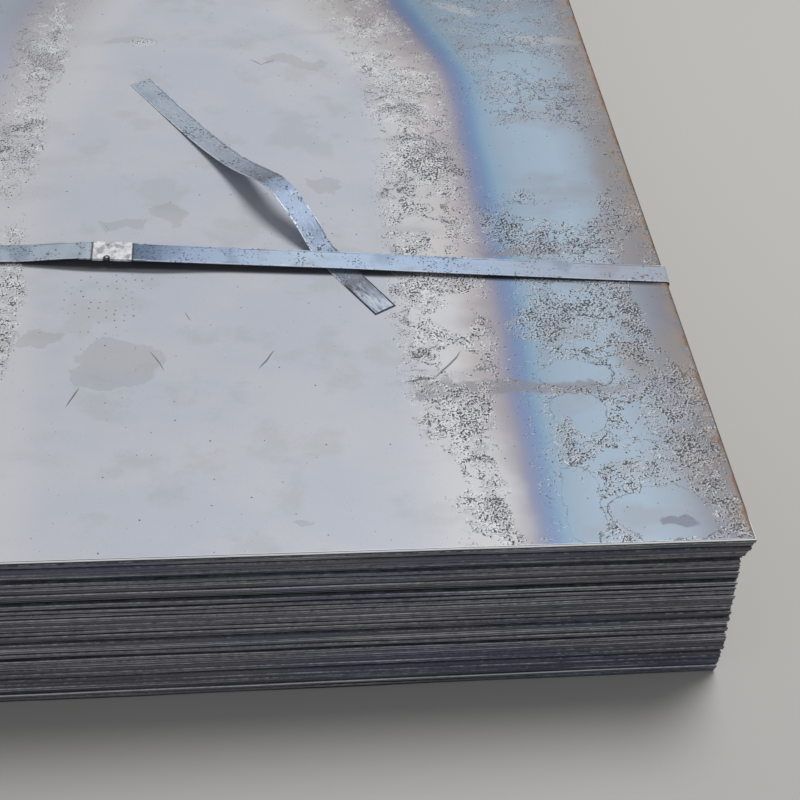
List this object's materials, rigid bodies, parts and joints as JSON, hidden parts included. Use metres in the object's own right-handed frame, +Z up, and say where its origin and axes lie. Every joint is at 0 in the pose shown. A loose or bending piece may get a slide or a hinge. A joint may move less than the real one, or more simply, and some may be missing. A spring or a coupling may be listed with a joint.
{
  "type": "steel plate bundle",
  "caption": "Bundle of hot-rolled steel plates held by crimped steel straps, with a loose strap off-cut lying on top.",
  "frame": {"origin": "middle of the bounding box, at the floor under the straps", "axes": "+Z up; +Y along the plates, away from the near sheared ends; +X across the plates"},
  "size_m": [1.246, 2.4456, 0.2923],
  "materials": {
    "mill_scale": "satin",
    "plate_steel": "satin",
    "strap_steel": "satin",
    "seal_zinc": "satin"
  },
  "bodies": {
    "root": {"top_plate": "mill_scale", "plates": "plate_steel", "strap_near": "strap_steel", "strap_far": "strap_steel", "seal_near": "seal_zinc", "seal_far": "seal_zinc", "strap_offcut": "strap_steel"}
  },
  "joints": []
}
